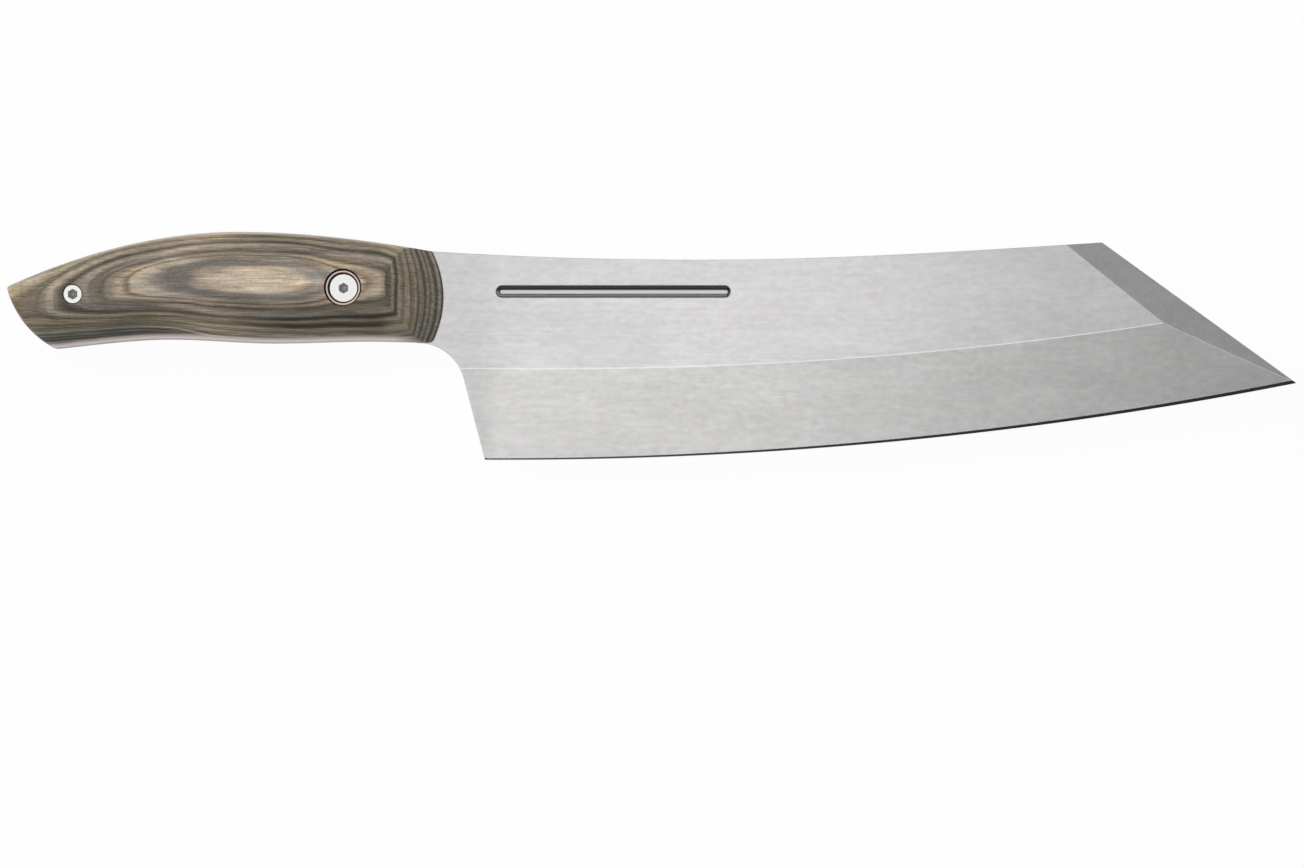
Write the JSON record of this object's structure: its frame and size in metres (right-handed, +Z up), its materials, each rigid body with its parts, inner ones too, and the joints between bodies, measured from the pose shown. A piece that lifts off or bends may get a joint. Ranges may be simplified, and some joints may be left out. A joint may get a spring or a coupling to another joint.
{
  "type": "bunka knife",
  "caption": "Kitchen knife with a deep, angular clipped-point blade, a fuller on each face, a full tang and laminated wood scales held by flush hex-socket screws",
  "frame": {"origin": "under the middle of the knife's outline, on the surface that it lies on", "axes": "+X along the knife to the tip, +Y from the edge to the spine, +Z up and out of the handle's right side"},
  "size_m": [0.3426, 0.0606, 0.021],
  "materials": {
    "blade_steel": "satin, lightly tumbled",
    "laminated_wood": "dyed plies, sanded and sealed",
    "barrel_steel": "turned",
    "collar_steel": "turned",
    "screw_steel": "bright satin"
  },
  "bodies": {
    "root": {"blade": "blade_steel", "scale_right": "laminated_wood", "scale_left": "laminated_wood", "front_barrel": "barrel_steel", "front_collar_right": "collar_steel", "front_collar_left": "collar_steel", "front_screw_right": "screw_steel", "front_screw_left": "screw_steel", "rear_barrel": "barrel_steel", "rear_screw_right": "screw_steel", "rear_screw_left": "screw_steel"}
  },
  "joints": []
}
